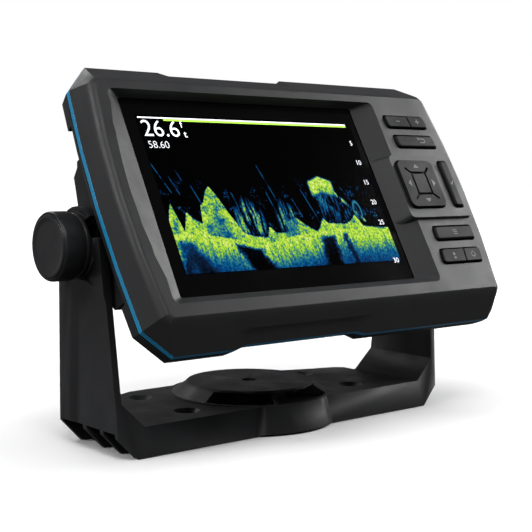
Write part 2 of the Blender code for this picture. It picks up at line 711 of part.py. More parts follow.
def build_sockets(looks, frame):
    for name, place, pins in (("power", POWER_SOCKET, 4), ("transducer", TRANSDUCER_SOCKET, 4)):
        profile = [(7.4, -28.0), (9.1, -28.0), (9.1, -REAR_DEPTH - GAP), (11.2, -REAR_DEPTH - GAP),
                   (11.2, -35.2), (9.2, -35.6), (9.2, -40.5), (7.4, -40.5)]
        add(name + "_socket", turned(profile, 28), looks["black"], frame, place)
        core = rod(7.1, -30.0, -28.0, 24)
        block = add(name + "_contacts", core, looks["black"], frame, place)
        for pin in range(pins):
            angle = math.radians(45 + 360 * pin / pins)
            spot = (place[0] + 3.6 * math.cos(angle), place[1] + 3.6 * math.sin(angle), 0)
            join(block, add(f"{name}_pin_{pin}", rod(0.8, -34.5, -29.0, 8), None, frame, spot))
    vent = turned([(0, -29.5), (3.1, -29.5), (3.1, -REAR_DEPTH - GAP), (5.0, -REAR_DEPTH - GAP),
                   (4.6, -34.6), (0, -34.9)], 20)
    add("pressure_vent", vent, looks["black"], frame, VENT)


# ---------------------------------------------------------------- keys and knobs

def build_keys(look, frame, web_look):
    for name, left, right, middle, height, radii in key_list():
        outline = key_outline(left, right, middle, height, KEY_GAP, radii)
        centre = ((left + right) / 2, middle)
        local = [(u - centre[0], v - centre[1]) for u, v in outline]
        add(name, slab(local, KEY_FOOT_Z, KEY_TOP_Z), look, frame, (*centre, 0))
    left, right, bottom, top = SELECT
    centre = ((left + right) / 2, (bottom + top) / 2)
    tall = rectangle(left - centre[0] + KEY_GAP, right - centre[0] - KEY_GAP,
                     bottom - centre[1] + KEY_GAP, top - centre[1] - KEY_GAP, 1.2, 2)
    add("select_key", slab(tall, KEY_FOOT_Z, PAD_TOP_Z), look, frame, (*centre, 0))

    left, right, bottom, top = DPAD
    centre = ((left + right) / 2, (bottom + top) / 2)
    half = ((right - left) / 2 - KEY_GAP, (top - bottom) / 2 - KEY_GAP)
    pad = rectangle(-half[0], half[0], -half[1], half[1], 2.8, 4)
    dpad = add("dpad", slab(pad, 9.2, PAD_TOP_Z), look, frame, (*centre, 0))
    plateau = rectangle(-4.6, 4.6, -5.4, 5.4, 0.8, 2)
    well = rectangle(-3.9, 3.9, -4.7, 4.7, 0.6, 2)
    cut(dpad, add("dpad_well", ring_between(plateau, well, PAD_TOP_Z - 0.6, PAD_TOP_Z + 1), None, frame,
                  (*centre, 0)))
    add("dpad_web", rod(3.4, 7.3, 8.9, 16), web_look, frame, (*centre, 0))


def build_knobs(looks, pivot):
    for side, name in ((-1, "left"), (1, "right")):
        spin = (0, side * math.radians(90), 0)
        face = KNOB_FACE
        knob = [(0, face - 0.5), (9.2, face - 0.5), (10.0, face), (11.2, face - 0.15), (12.2, face - 1.0),
                (12.5, face - 2.2), (12.5, 91.4), (12.0, 91.0), (11.0, 90.9), (11.0, 90.0), (11.8, 89.8),
                (11.8, 88.3), (9.4, 88.3), (9.4, 89.6), (2.9, 89.6), (2.9, 97.0), (0, 97.0)]
        add(name + "_knob", turned(knob, 36), looks["knob"], pivot, (0, 0, 0), spin)
        stud = rod(STUD_RADIUS, 72.5, 96.6, 16)
        add(name + "_stud", stud, looks["steel"], pivot, (0, 0, 0), spin)
        bush = [(2.8, 89.2), (9.0, 89.2), (9.0, 88.3), (3.1, 88.3), (3.1, 84.2), (2.8, 84.2)]
        add(name + "_bush", turned(bush, 20), looks["black"], pivot, (0, 0, 0), spin)
        pad = [(3.4, 83.05), (9.0, 83.05), (9.0, CHEEK_OUT + GAP), (3.4, CHEEK_OUT + GAP)]
        add(name + "_friction_washer", turned(pad, 24), looks["rubber"], pivot, (0, 0, 0), spin)
        insert = [(2.8, 81.5), (4.5, 81.5), (4.5, 71.0), (2.8, 71.0)]
        add(name + "_insert", turned(insert, 16), looks["brass"], pivot, (0, 0, 0), spin)


def main():
    looks = {
        "bracket": material("bracket_black", BLACK, 0.55),
        "bezel": material("bezel_graphite", GRAPHITE, 0.48),
        "rear": material("case_black", BLACK, 0.55),
        "key": material("key_grey", KEY_GREY, 0.50),
        "knob": material("knob_black", BLACK, 0.45),
        "blue": material("accent_blue", BLUE, 0.40),
        "rubber": material("rubber", RUBBER, 0.80),
        "glass": material("window_glass", (0.005, 0.005, 0.006), 0.08),
        "screen": material("lcd", (0.02, 0.03, 0.05), 0.20),
        "steel": material("steel", STEEL, 0.35, 1.0),
        "brass": material("brass", BRASS, 0.35, 1.0),
        "board": material("board", BOARD_GREEN, 0.45),
        "flex": material("flex", (0.45, 0.24, 0.06), 0.40),
        "ceramic": material("ceramic", (0.62, 0.58, 0.50), 0.60),
        "black": material("plain_black", BLACK, 0.60),
    }
    build_bracket(looks["bracket"])
    pivot = empty("tilt_axis", None, (0, PIVOT_Y, PIVOT_Z), (math.radians(-TILT), 0, 0))
    frame = empty("seam_frame", pivot, (0, -SEAM_AHEAD, SEAM_RAISE), (math.radians(90), 0, 0))
    build_bezel(looks["bezel"], frame)
    build_rear_case(looks["rear"], frame)
    build_stack(looks, frame)
    build_sockets(looks, frame)
    build_keys(looks["key"], frame, looks["rubber"])
    build_knobs(looks, pivot)


main()
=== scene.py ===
"""Looks of the chartplotter display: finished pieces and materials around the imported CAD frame."""

import json
import math

import bmesh
import bpy
from mathutils import Matrix, Vector


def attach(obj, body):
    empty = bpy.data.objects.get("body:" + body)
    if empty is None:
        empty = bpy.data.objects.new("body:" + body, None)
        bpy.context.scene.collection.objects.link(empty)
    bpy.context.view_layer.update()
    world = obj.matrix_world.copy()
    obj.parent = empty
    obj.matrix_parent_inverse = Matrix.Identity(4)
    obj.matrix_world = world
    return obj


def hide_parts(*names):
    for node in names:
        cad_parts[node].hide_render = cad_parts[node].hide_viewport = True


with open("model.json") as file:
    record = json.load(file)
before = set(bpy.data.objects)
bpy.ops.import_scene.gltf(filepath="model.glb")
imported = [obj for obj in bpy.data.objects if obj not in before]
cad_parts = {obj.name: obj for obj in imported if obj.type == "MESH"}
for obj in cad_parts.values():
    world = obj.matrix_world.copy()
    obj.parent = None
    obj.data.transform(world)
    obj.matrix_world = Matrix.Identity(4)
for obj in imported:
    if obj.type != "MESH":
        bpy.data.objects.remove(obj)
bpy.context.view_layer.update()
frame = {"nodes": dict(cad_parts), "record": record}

MM = 0.001
record = frame["record"]
body_of_node = {node: body for body, nodes in record["behaviour"]["bodies"].items() for node in nodes}
slot_of_node = {part["node"]: part["material_slot"] for part in record["subparts"]}

# ---------------------------------------------------------------- the unit's own frame
# x to the right, y up the face and z out of the face, in millimetres; z = 0 at the seam between
# bezel and case.

joints = {joint["name"]: joint for joint in record["behaviour"]["joints"]}
PIVOT = Vector(joints["display_tilt"]["pos_m"])
FACE_OUT = -Vector(joints["menu_key_press"]["axis"]).normalized()
FACE_UP = FACE_OUT.cross(Vector((1, 0, 0))).normalized()
SEAM_AHEAD = 21.8 * MM
SEAM_RAISE = 3.5 * MM
seam_centre = PIVOT + FACE_UP * SEAM_RAISE + FACE_OUT * SEAM_AHEAD
SEAM = Matrix.Translation(seam_centre) @ Matrix((Vector((1, 0, 0)), FACE_UP, FACE_OUT)).transposed().to_4x4()
SEAM_MM = SEAM @ Matrix.Scale(MM, 4)


def span(node):
    """Lowest and highest corners of a CAD node in the unit's own frame."""
    inverse = SEAM_MM.inverted()
    points = [inverse @ vert.co for vert in frame["nodes"][node].data.vertices]
    low = Vector([min(point[axis] for point in points) for axis in range(3)])
    high = Vector([max(point[axis] for point in points) for axis in range(3)])
    return low, high


def top_centre(node):
    low, high = span(node)
    return Vector(((low.x + high.x) / 2, (low.y + high.y) / 2, high.z))


# ---------------------------------------------------------------- node helpers

def node(tree, kind, inputs=None, **settings):
    """Adds a shader node; inputs are sockets to link from, or constants."""
    made = tree.nodes.new("ShaderNode" + kind)
    for key, value in settings.items():
        setattr(made, key, value)
    for key, value in (inputs or {}).items():
        if isinstance(value, bpy.types.NodeSocket):
            tree.links.new(value, made.inputs[key])
        else:
            made.inputs[key].default_value = value
    return made


def new_material(name, color, roughness, metallic=0.0, specular=0.5):
    made = bpy.data.materials.new(name)
    made.use_nodes = True
    shader = made.node_tree.nodes["Principled BSDF"]
    shader.inputs["Base Color"].default_value = (*color, 1)
    shader.inputs["Roughness"].default_value = roughness
    shader.inputs["Metallic"].default_value = metallic
    shader.inputs["Specular IOR Level"].default_value = specular
    return made, made.node_tree, shader


def ramp_between(tree, value, low, high, start=0.0, end=1.0):
    """The value mapped from start..end to low..high, clamped."""
    inputs = {"Value": value, "From Min": start, "From Max": end, "To Min": low, "To Max": high}
    return node(tree, "MapRange", inputs).outputs["Result"]


def edge_share(tree, radius):
    """0 on flat ground and rising to 1 within a radius of a sharp edge."""
    rounded = node(tree, "Bevel", {"Radius": radius * MM}, samples=4).outputs["Normal"]
    flat = node(tree, "NewGeometry").outputs["True Normal"]
    dot = node(tree, "VectorMath", {0: rounded, 1: flat}, operation="DOT_PRODUCT").outputs["Value"]
    return ramp_between(tree, dot, 1.0, 0.0, 0.75, 0.99)


# How broad the duller and glossier patches are, and how far the edge wear and painted edge highlight reach in
# from an edge.
PATCH_SIZE = 14.0
EDGE_WEAR_AND_HIGHLIGHT_REACH = 0.5


def moulded(name, color, roughness, grain=0.4, depth=0.03, specular=0.5, edge_wear_and_highlight=0.0, spread=0.2):
    """Moulded plastic or rubber: a spark-eroded grain, uneven gloss, and edges painted lighter, partly as
    wear and partly as a painted highlight.
    """
    made, tree, shader = new_material(name, color, roughness, specular=specular)
    place = node(tree, "TexCoord").outputs["Object"]
    fine = node(tree, "TexNoise", {"Vector": place, "Scale": 1 / (grain * MM), "Detail": 3.0,
                                   "Roughness": 0.6})
    broad = node(tree, "TexNoise", {"Vector": place, "Scale": 1 / (PATCH_SIZE * MM), "Detail": 4.0,
                                    "Roughness": 0.55})
    gloss = ramp_between(tree, broad.outputs["Fac"], roughness * (1 - spread), roughness * (1 + spread),
                         0.3, 0.7)
    tone = ramp_between(tree, fine.outputs["Fac"], 0.75, 1.25, 0.25, 0.75)
    if edge_wear_and_highlight > 0:
        # Edges painted lighter in patches: partly wear, partly a painted highlight where rounded edges would
        # catch the light.
        edge = edge_share(tree, EDGE_WEAR_AND_HIGHLIGHT_REACH)
        patchy = ramp_between(tree, broad.outputs["Fac"], 0.3, 1.0, 0.35, 0.65)
        wear_and_highlight = node(tree, "Math", {0: edge, 1: patchy}, operation="MULTIPLY").outputs[0]
        lift = ramp_between(tree, wear_and_highlight, 1.0, 1.0 + edge_wear_and_highlight)
        tone = node(tree, "Math", {0: tone, 1: lift}, operation="MULTIPLY").outputs[0]
    shade = node(tree, "VectorMath", {0: color, "Scale": tone}, operation="SCALE").outputs["Vector"]
    tree.links.new(shade, shader.inputs["Base Color"])
    tree.links.new(gloss, shader.inputs["Roughness"])
    bump = node(tree, "Bump", {"Height": fine.outputs["Fac"], "Distance": depth * MM, "Strength": 1.0})
    tree.links.new(bump.outputs["Normal"], shader.inputs["Normal"])
    return made


def brushed(name, color, roughness, stretch=(1, 1, 14)):
    """Turned or drawn metal: fine lines along one way, with a little stain."""
    made, tree, shader = new_material(name, color, roughness, 1.0)
    place = node(tree, "TexCoord").outputs["Object"]
    lines_at = node(tree, "Mapping", {"Vector": place, "Scale": tuple(s / MM for s in stretch)}).outputs[0]
    lines = node(tree, "TexNoise", {"Vector": lines_at, "Scale": 0.6, "Detail": 3.0})
    stain = node(tree, "TexNoise", {"Vector": place, "Scale": 1 / (3 * MM), "Detail": 3.0})
    gloss = ramp_between(tree, lines.outputs["Fac"], roughness * 0.7, roughness * 1.4, 0.3, 0.7)
    tone = ramp_between(tree, stain.outputs["Fac"], 0.8, 1.1, 0.3, 0.7)
    shade = node(tree, "VectorMath", {0: color, "Scale": tone}, operation="SCALE").outputs["Vector"]
    tree.links.new(shade, shader.inputs["Base Color"])
    tree.links.new(gloss, shader.inputs["Roughness"])
    bump = node(tree, "Bump", {"Height": lines.outputs["Fac"], "Distance": 0.004 * MM, "Strength": 1.0})
    tree.links.new(bump.outputs["Normal"], shader.inputs["Normal"])
    return made


def glass_look():
    """Gloss black printed glass with a faint unevenness."""
    made, tree, shader = new_material("glass_black", (0.002, 0.002, 0.0023), 0.09, specular=0.3)
    place = node(tree, "TexCoord").outputs["Object"]
    smear = node(tree, "TexNoise", {"Vector": place, "Scale": 1 / (25 * MM), "Detail": 5.0, "Roughness": 0.6})
    gloss = ramp_between(tree, smear.outputs["Fac"], 0.07, 0.13, 0.35, 0.7)
    tree.links.new(gloss, shader.inputs["Roughness"])
    wave = node(tree, "TexNoise", {"Vector": place, "Scale": 1 / (40 * MM)})
    bump = node(tree, "Bump", {"Height": wave.outputs["Fac"], "Distance": 0.01 * MM, "Strength": 1.0})
    tree.links.new(bump.outputs["Normal"], shader.inputs["Normal"])
    return made


BLACK = (0.0100, 0.0103, 0.0112)
GRAPHITE = (0.022, 0.0224, 0.0238)
INNER_BLACK = (0.014, 0.014, 0.016)
KEY_GREY = (0.010, 0.0102, 0.011)
KNOB_BLACK = (0.0095, 0.0098, 0.0108)

looks = {
    "bracket_plastic": moulded("bracket_nylon", BLACK, 0.50, grain=0.45, depth=0.05, specular=0.3, edge_wear_and_highlight=0.8),
    "bezel_plastic": moulded("bezel_grain", GRAPHITE, 0.46, grain=0.32, depth=0.022, specular=0.35, edge_wear_and_highlight=0.5),
    "case_plastic": moulded("case_grain", BLACK, 0.52, grain=0.45, depth=0.05, specular=0.35, edge_wear_and_highlight=0.6),
    "accent_trim": moulded("trim_blue", (0.004, 0.215, 0.42), 0.36, grain=0.3, depth=0.006, spread=0.15),
    "rubber": moulded("silicone", (0.010, 0.010, 0.011), 0.72, grain=0.5, depth=0.03, specular=0.3),
    "window_glass": glass_look(),
    "lcd": moulded("lcd_face", (0.01, 0.012, 0.015), 0.2, grain=0.3, depth=0.001),
    "lcd_tray": brushed("tray_sheet", (0.6, 0.61, 0.62), 0.35, (14, 1, 1)),
    "flex": moulded("polyimide", (0.45, 0.24, 0.06), 0.4, grain=0.4, depth=0.004),
    "board": moulded("solder_mask", (0.01, 0.12, 0.06), 0.45, grain=1.2, depth=0.01),
    "steel": brushed("stainless", (0.55, 0.56, 0.58), 0.32),
    "ceramic": moulded("antenna_ceramic", (0.62, 0.58, 0.50), 0.6, grain=0.5, depth=0.01),
    "inner_plastic": moulded("inner_black", INNER_BLACK, 0.55, grain=0.5, depth=0.02, specular=0.35),
    "socket_plastic": moulded("socket_black", INNER_BLACK, 0.42, grain=0.5, depth=0.02, edge_wear_and_highlight=0.5),
    "key_plastic": moulded("key_grey", KEY_GREY, 0.5, grain=0.3, depth=0.014, specular=0.11, edge_wear_and_highlight=0.4),
    "knob_plastic": moulded("knob_satin", KNOB_BLACK, 0.42, grain=0.4, depth=0.02, specular=0.35,
                            edge_wear_and_highlight=0.7),
    "brass": brushed("machined_brass", (0.72, 0.52, 0.22), 0.3),
}
icon_ink = moulded("icon_ink", (0.15, 0.153, 0.16), 0.5, grain=0.2, depth=0.003, specular=0.2)

for name, part in frame["nodes"].items():
    part.data.materials.clear()
    part.data.materials.append(looks[slot_of_node[name]])


# ---------------------------------------------------------------- mesh helpers

def shown(name, mesh, body, slot, look=None, matrix=None):
    """Places a finished mesh or curve as a piece that rides on a CAD body."""
    mesh.materials.clear()
    mesh.materials.append(look or looks[slot])
    piece = bpy.data.objects.new(name, mesh)
    bpy.context.scene.collection.objects.link(piece)
    if matrix is not None:
        piece.matrix_world = matrix
    bpy.context.view_layer.update()
    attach(piece, body)
    return piece


def smooth_edges(piece, width, segments=3, angle=25):
    """Rounds the piece's sharp edges, and lets the flat faces keep their shading."""
    piece.data.shade_smooth()
    bevel = piece.modifiers.new("edges", "BEVEL")
    bevel.width = width * MM
    bevel.segments = segments
    bevel.limit_method = "ANGLE"
    bevel.angle_limit = math.radians(angle)
    bevel.face_strength_mode = "FSTR_ALL"
    normals = piece.modifiers.new("normals", "WEIGHTED_NORMAL")
    normals.mode = "FACE_AREA"
    normals.weight = 50
    normals.use_face_influence = True


# Points nearer than this are one point: of a CAD node in millimetres, or of a mesh made here.
CAD_WELD = 0.004
WELD = 1e-5


def refine(name, width, segments=3, angle=25, prepare=None, merge=0.3):
    """A finished copy of a CAD node, with its flat facets merged and its edges rounded."""
    shape = bmesh.new()
    shape.from_mesh(frame["nodes"][name].data)
    bmesh.ops.remove_doubles(shape, verts=shape.verts, dist=CAD_WELD * MM)
    if merge:
        bmesh.ops.dissolve_limit(shape, angle_limit=math.radians(merge), verts=shape.verts, edges=shape.edges)
    mesh = bpy.data.meshes.new(name + "_finished")
    shape.to_mesh(mesh)
    shape.free()
    piece = shown(name + "_finished", mesh, body_of_node[name], slot_of_node[name])
    if prepare:
        prepare(piece)
    smooth_edges(piece, width, segments, angle)
    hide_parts(name)
    return piece


def carve(piece, mesh, centre, height):
    """Cuts a flat-drawn mesh out of a piece, with its foot at a height in the unit's own frame."""
    mesh.transform(SEAM_MM @ Matrix.Translation((centre.x, centre.y, height)))
    tool = bpy.data.objects.new("carver", mesh)
    bpy.context.scene.collection.objects.link(tool)
    step = piece.modifiers.new("carve", "BOOLEAN")
    step.operation = "DIFFERENCE"
    step.object = tool
    step.solver = "EXACT"
    bpy.context.view_layer.update()
    carved = bpy.data.meshes.new_from_object(piece.evaluated_get(bpy.context.evaluated_depsgraph_get()))
    piece.modifiers.remove(step)
    bpy.data.objects.remove(tool, do_unlink=True)
    carved.name = piece.data.name + "_carved"
    piece.data = carved


def lathe(name, profile, steps=120):
    """Turns (radius, height) points about the z axis into a smooth mesh."""
    shape = bmesh.new()
    verts = [shape.verts.new((radius, 0, height)) for radius, height in profile]
    for before, after in zip(verts, verts[1:]):
        shape.edges.new((before, after))
    bmesh.ops.spin(shape, geom=list(shape.verts) + list(shape.edges), axis=(0, 0, 1), cent=(0, 0, 0),
                   angle=math.tau, steps=steps, use_merge=True)
    bmesh.ops.remove_doubles(shape, verts=shape.verts, dist=WELD)
    bmesh.ops.recalc_face_normals(shape, faces=shape.faces)
    mesh = bpy.data.meshes.new(name)
    shape.to_mesh(mesh)
    shape.free()
    mesh.shade_smooth()
    mesh.set_sharp_from_angle(angle=math.radians(42))
    return mesh


def plate(name, outlines, thickness):
    """A mesh of flat outlines raised by a thickness; each outline is a ring, or a ring and its holes."""
    flat = bpy.data.curves.new(name, "CURVE")
    flat.dimensions = "2D"
    flat.fill_mode = "BOTH"
    flat.extrude = thickness / 2
    for ring in outlines:
        spline = flat.splines.new("POLY")
        spline.points.add(len(ring) - 1)
        for point, (x, y) in zip(spline.points, ring):
            point.co = (x, y, thickness / 2, 1)
        spline.use_cyclic_u = True
    holder = bpy.data.objects.new(name, flat)
    bpy.context.scene.collection.objects.link(holder)
    mesh = bpy.data.meshes.new_from_object(holder.evaluated_get(bpy.context.evaluated_depsgraph_get()))
    bpy.data.objects.remove(holder, do_unlink=True)
    shape = bmesh.new()
    shape.from_mesh(mesh)
    bmesh.ops.remove_doubles(shape, verts=shape.verts, dist=WELD)
    shape.to_mesh(mesh)
    shape.free()
    mesh.name = name
    return mesh


def arc(centre, radius, start, end, steps=16):
    turns = [math.radians(start + (end - start) * step / steps) for step in range(steps + 1)]
    return [(centre[0] + radius * math.cos(t), centre[1] + radius * math.sin(t)) for t in turns]


def stroke(path, width):
    """Outline of a line of even width along an open path, with mitred bends."""
    left, right = [], []
    for index, point in enumerate(path):
        here = Vector(point)
        before = Vector(path[max(index - 1, 0)])
        after = Vector(path[min(index + 1, len(path) - 1)])
        ways = [way.normalized() for way in (here - before, after - here) if way.length > 0]
        along = sum(ways, Vector((0, 0))).normalized()
        across = Vector((-along.y, along.x))
        reach = width / 2 / max(0.4, along.dot(ways[0]))
        left.append(tuple(here + across * reach))
        right.append(tuple(here - across * reach))
    return left + right[::-1]


def bar(x, y, length, width):
    return stroke([(x - length / 2, y), (x + length / 2, y)], width)


# ---------------------------------------------------------------- housing

refine("bail_bracket", 0.55, merge=0)
refine("front_bezel", 0.35, angle=22)
refine("rear_case", 0.45)
refine("accent_trim", 0.18, 2)
refine("window_glass", 0.25)
refine("left_bush", 0.2, 2)
refine("right_bush", 0.2, 2)

# ---------------------------------------------------------------- knobs, sockets, screws

# A profile's points are (radius, height) in millimetres: a knob's heights run out along the tilt axis,
# and a socket's or a screw's run out of the face from the seam.
KNOB_PROFILE = [(0, 98.75), (8.4, 98.75), (9.2, 98.85), (9.9, 99.12), (10.5, 99.25), (11.0, 99.2),
                (11.3, 99.02), (11.42, 98.72), (11.62, 98.72), (11.8, 98.86), (12.1, 98.7), (12.38, 98.3),
                (12.5, 97.7), (12.5, 92.0), (12.42, 91.6), (12.2, 91.3), (11.8, 91.12), (11.0, 91.0),
                (11.0, 90.05), (11.5, 89.95), (11.74, 89.75), (11.8, 89.5), (11.8, 88.75), (11.7, 88.45),
                (11.5, 88.3), (9.4, 88.3), (9.4, 89.6), (2.9, 89.6), (2.9, 97.0), (0, 97.0)]


def on_pivot(side):
    """A frame on the tilt axis whose z axis points out to one side, in millimetres."""
    turn = Matrix.Rotation(side * math.radians(90), 4, "Y")
    return Matrix.Translation(PIVOT) @ turn @ Matrix.Scale(MM, 4)


for side, name in ((-1, "left"), (1, "right")):
    knob = lathe(name + "_knob_finished", KNOB_PROFILE)
    knob.transform(on_pivot(side))
    piece = shown(knob.name, knob, name + "_knob_body", "knob_plastic")
    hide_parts(name + "_knob")

SOCKET_PROFILE = [(7.4, -28.0), (9.1, -28.0), (9.1, -33.3), (10.8, -33.3), (11.1, -33.5), (11.2, -33.9),
                  (11.2, -34.8), (11.0, -35.15), (10.6, -35.25), (9.5, -35.4), (9.2, -35.7), (9.2, -40.0),
                  (9.05, -40.35), (8.8, -40.5), (7.8, -40.5), (7.55, -40.4), (7.4, -40.1), (7.4, -28.0)]
for name in ("power_socket", "transducer_socket"):
    centre = top_centre(name)
    socket = lathe(name + "_finished", SOCKET_PROFILE, 96)
    socket.transform(SEAM_MM @ Matrix.Translation((centre.x, centre.y, 0)))
    piece = shown(socket.name, socket, "display_unit", "socket_plastic")
    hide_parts(name)

SCREW_PROFILE = [(0, -9.3), (1.2, -9.22), (1.9, -9.05), (2.25, -8.75), (2.4, -8.35), (2.4, -7.45),
                 (2.3, -7.3), (1.2, -7.3), (1.2, 4.4), (0, 4.4)]
SLOT_LENGTH = 2.6
SLOT_WIDTH = 0.7
SLOT_HEIGHT = 0.9
SLOT_FOOT = -9.5
for number in range(1, 5):
    name = f"case_screw_{number}"
    centre = top_centre(name)
    screw = lathe(name + "_finished", SCREW_PROFILE, 48)
    screw.transform(SEAM_MM @ Matrix.Translation((centre.x, centre.y, 0)))
    piece = shown(screw.name, screw, "display_unit", "steel")
    for turn in (0, 90):
        slot = plate("recess", [bar(0, 0, SLOT_LENGTH, SLOT_WIDTH)], SLOT_HEIGHT)
        slot.transform(Matrix.Rotation(math.radians(turn), 4, "Z"))
        carve(piece, slot, centre, SLOT_FOOT)
    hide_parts(name)
refine("pressure_vent", 0.25, 2)

# ---------------------------------------------------------------- keys

KEY_NODES = ("zoom_out_key", "zoom_in_key", "back_key", "menu_key", "mark_key", "power_key")
for name in KEY_NODES:
    refine(name, 0.7, 4, 50)
refine("select_key", 0.8, 4, 50)


def cut_petals(piece):
    """Cuts the direction pad's four petals apart with grooves round its middle and out to its corners."""
    low, high = span("dpad")
    centre = (low + high) / 2
    half = (high - low) / 2
    inner = Vector((4.2, 5.0))
    outer = Vector((half.x - 3.4, half.y - 3.4))
    groove = 1.1
    depth = 0.95
    tool_height = 2.0
    for sx in (-1, 1):
        for sy in (-1, 1):
            path = [(sx * inner.x, sy * inner.y), (sx * outer.x, sy * outer.y)]
            carve(piece, plate("groove", [stroke(path, groove)], tool_height), centre, high.z - depth)
    rings = []
    for step in (groove / 2, -groove / 2):
        x, y = inner.x + step, inner.y + step
        rings.append([(x, -y), (x, y), (-x, y), (-x, -y)])
    carve(piece, plate("moat", rings, tool_height), centre, high.z - depth)


refine("dpad", 0.3, 3, 50, cut_petals)

# ---------------------------------------------------------------- icons

INK = 0.06
INK_LIFT = 0.01
LINE = 0.5


def icon(name, key, outlines, at=(0.0, 0.0)):
    """Prints flat outlines, drawn in millimetres, on top of a key."""
    mesh = plate(name, outlines, INK)
    top = top_centre(key)
    mesh.transform(SEAM_MM @ Matrix.Translation((top.x + at[0], top.y + at[1], top.z + INK_LIFT)))
    return shown(name, mesh, body_of_node[key], slot_of_node[key], icon_ink)


def arrowhead(angle):
    points = [(1.1, 0), (-0.7, 1.7), (-0.7, -1.7)]
    turn = Matrix.Rotation(math.radians(angle), 2)
    return [tuple(turn @ Vector(point)) for point in points]


icon("minus_icon", "zoom_out_key", [bar(0, 0, 2.2, LINE)])
cross = [(-1.2, -0.25), (-0.25, -0.25), (-0.25, -1.2), (0.25, -1.2), (0.25, -0.25), (1.2, -0.25)]
icon("plus_icon", "zoom_in_key", [cross + [(-x, -y) for x, y in cross]])
back_line = stroke([(-1.9, 0.9), (0.9, 0.9)] + arc((0.9, 0), 0.9, 80, -90, 10) + [(-1.6, -0.9)], LINE)
icon("back_icon", "back_key", [back_line], (3.6, 0.1))
icon("back_tip", "back_key", [[(x * 0.55 - 2.2, y * 0.55 + 0.9) for x, y in arrowhead(180)]], (3.6, 0.1))
for name, angle, place in (("up", 90, (0, 8.0)), ("left", 180, (-7.2, 0)), ("right", 0, (7.2, 0)),
                           ("down", -90, (0, -8.0))):
    icon(f"dpad_{name}_icon", "dpad", [arrowhead(angle)], place)
icon("check_icon", "select_key", [stroke([(-0.9, 0.1), (-0.3, -0.7), (1.0, 1.0)], LINE)])
icon("menu_icon", "menu_key", [bar(0, y, 2.6, 0.36) for y in (-0.9, 0, 0.9)])
figure = [bar(0, -1.2, 1.5, 0.8), arc((0, 0.5), 0.75, 0, 345, 16)]
icon("mark_icon", "mark_key", figure)
icon("power_icon", "power_key", [stroke(arc((0, 0), 1.15, 125, 415, 20), 0.4)])
icon("power_tip", "power_key", [stroke([(0, 0.4), (0, 1.7)], 0.4)])

# ---------------------------------------------------------------- lit picture

# Left, right, bottom and top of the lit area, the dark rim round it, and how far things stand off the glass.
SCREEN = (-66.5, 41.5, -30.1, 34.7)
RIM = 0.2
SCREEN_LIFT = 0.05
BAR_LIFT = 0.05
LETTER_LIFT = 0.08
PANEL_DEPTH = 0.03
LETTER_DEPTH = 0.015
CAPITAL_SHARE = 0.7


class Field:
    """A value worked out by math nodes, so that a picture can be written as a formula."""

    def __init__(self, tree, socket):
        self.tree = tree
        self.socket = socket

    def _math(self, operation, *others):
        values = [self.socket] + [other.socket if isinstance(other, Field) else other for other in others]
        made = node(self.tree, "Math", dict(enumerate(values)), operation=operation)
        return Field(self.tree, made.outputs[0])

    def __add__(self, other):
        return self._math("ADD", other)

    def __sub__(self, other):
        return self._math("SUBTRACT", other)

    def __mul__(self, other):
        return self._math("MULTIPLY", other)

    def top(self, other):
        return self._math("MAXIMUM", other)

    def size(self):
        return self._math("ABSOLUTE")

    def root(self):
        return self._math("SQRT")

    def rise(self, start, end):
        """0 at start and 1 at end, with a soft step between them; start may be the larger one."""
        inputs = {"Value": self.socket, "From Min": start, "From Max": end}
        made = node(self.tree, "MapRange", inputs, interpolation_type="SMOOTHSTEP")
        return Field(self.tree, made.outputs[0])

    def between(self, low, high, soft):
        return self.rise(low - soft, low + soft) * self.rise(high + soft, high - soft)


def curve_of(x, points, low, high):
    """A height given by (x, height) points, drawn with straight stretches, as a field of x."""
    tree = x.tree
    span_x = points[-1][0] - points[0][0]
    inputs = {"Value": x.socket, "From Min": points[0][0], "From Max": points[-1][0]}
    share = node(tree, "MapRange", inputs).outputs[0]
    made = node(tree, "FloatCurve", {"Value": share})
    line = made.mapping.curves[0]
    for number, (px, height) in enumerate(points):
        spot = ((px - points[0][0]) / span_x, (height - low) / (high - low))
        if number in (0, len(points) - 1):
            dot = line.points[0 if number == 0 else -1]
            dot.location = spot
        else:
            dot = line.points.new(*spot)
        dot.handle_type = "VECTOR"
    made.mapping.update()
    return Field(tree, made.outputs[0]) * (high - low) + low


